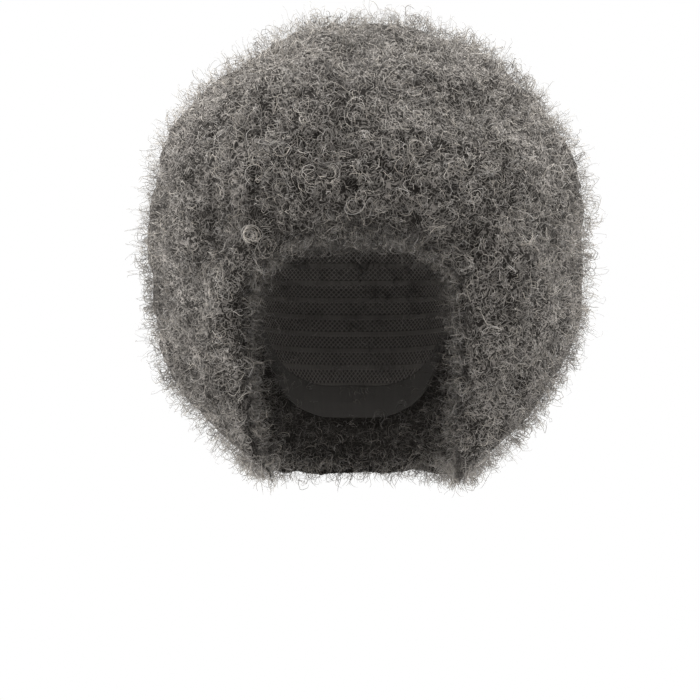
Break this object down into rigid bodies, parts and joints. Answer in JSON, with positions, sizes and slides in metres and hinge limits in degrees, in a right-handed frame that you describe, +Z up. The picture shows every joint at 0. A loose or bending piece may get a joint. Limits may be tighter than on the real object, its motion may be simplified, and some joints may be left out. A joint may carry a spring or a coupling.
{
  "type": "afro wig",
  "caption": "Round afro wig of tight grey curls on a stretch net cap, with a forehead band, ear tabs and a nape band, open at the face and the neck.",
  "frame": {"origin": "the top of the head, on the inner face of the cap's crown", "axes": "+Z up, -Y towards the wearer's front, +X towards the wearer's left"},
  "size_m": [0.3293, 0.3167, 0.3326],
  "materials": {
    "hair": "tight crimped and curled synthetic fibre in mixed greys, matt, with paler tips and dark depths",
    "net": "stretch net with rows of weft tape, matt, nearly black",
    "band": "doubled woven tape with two rows of stitches, matt, nearly black"
  },
  "bodies": {
    "root": {"cap": "net", "front_band": "band", "ear_tab_left": "band", "ear_tab_right": "band", "nape_band": "band", "hair": "hair"}
  },
  "joints": []
}
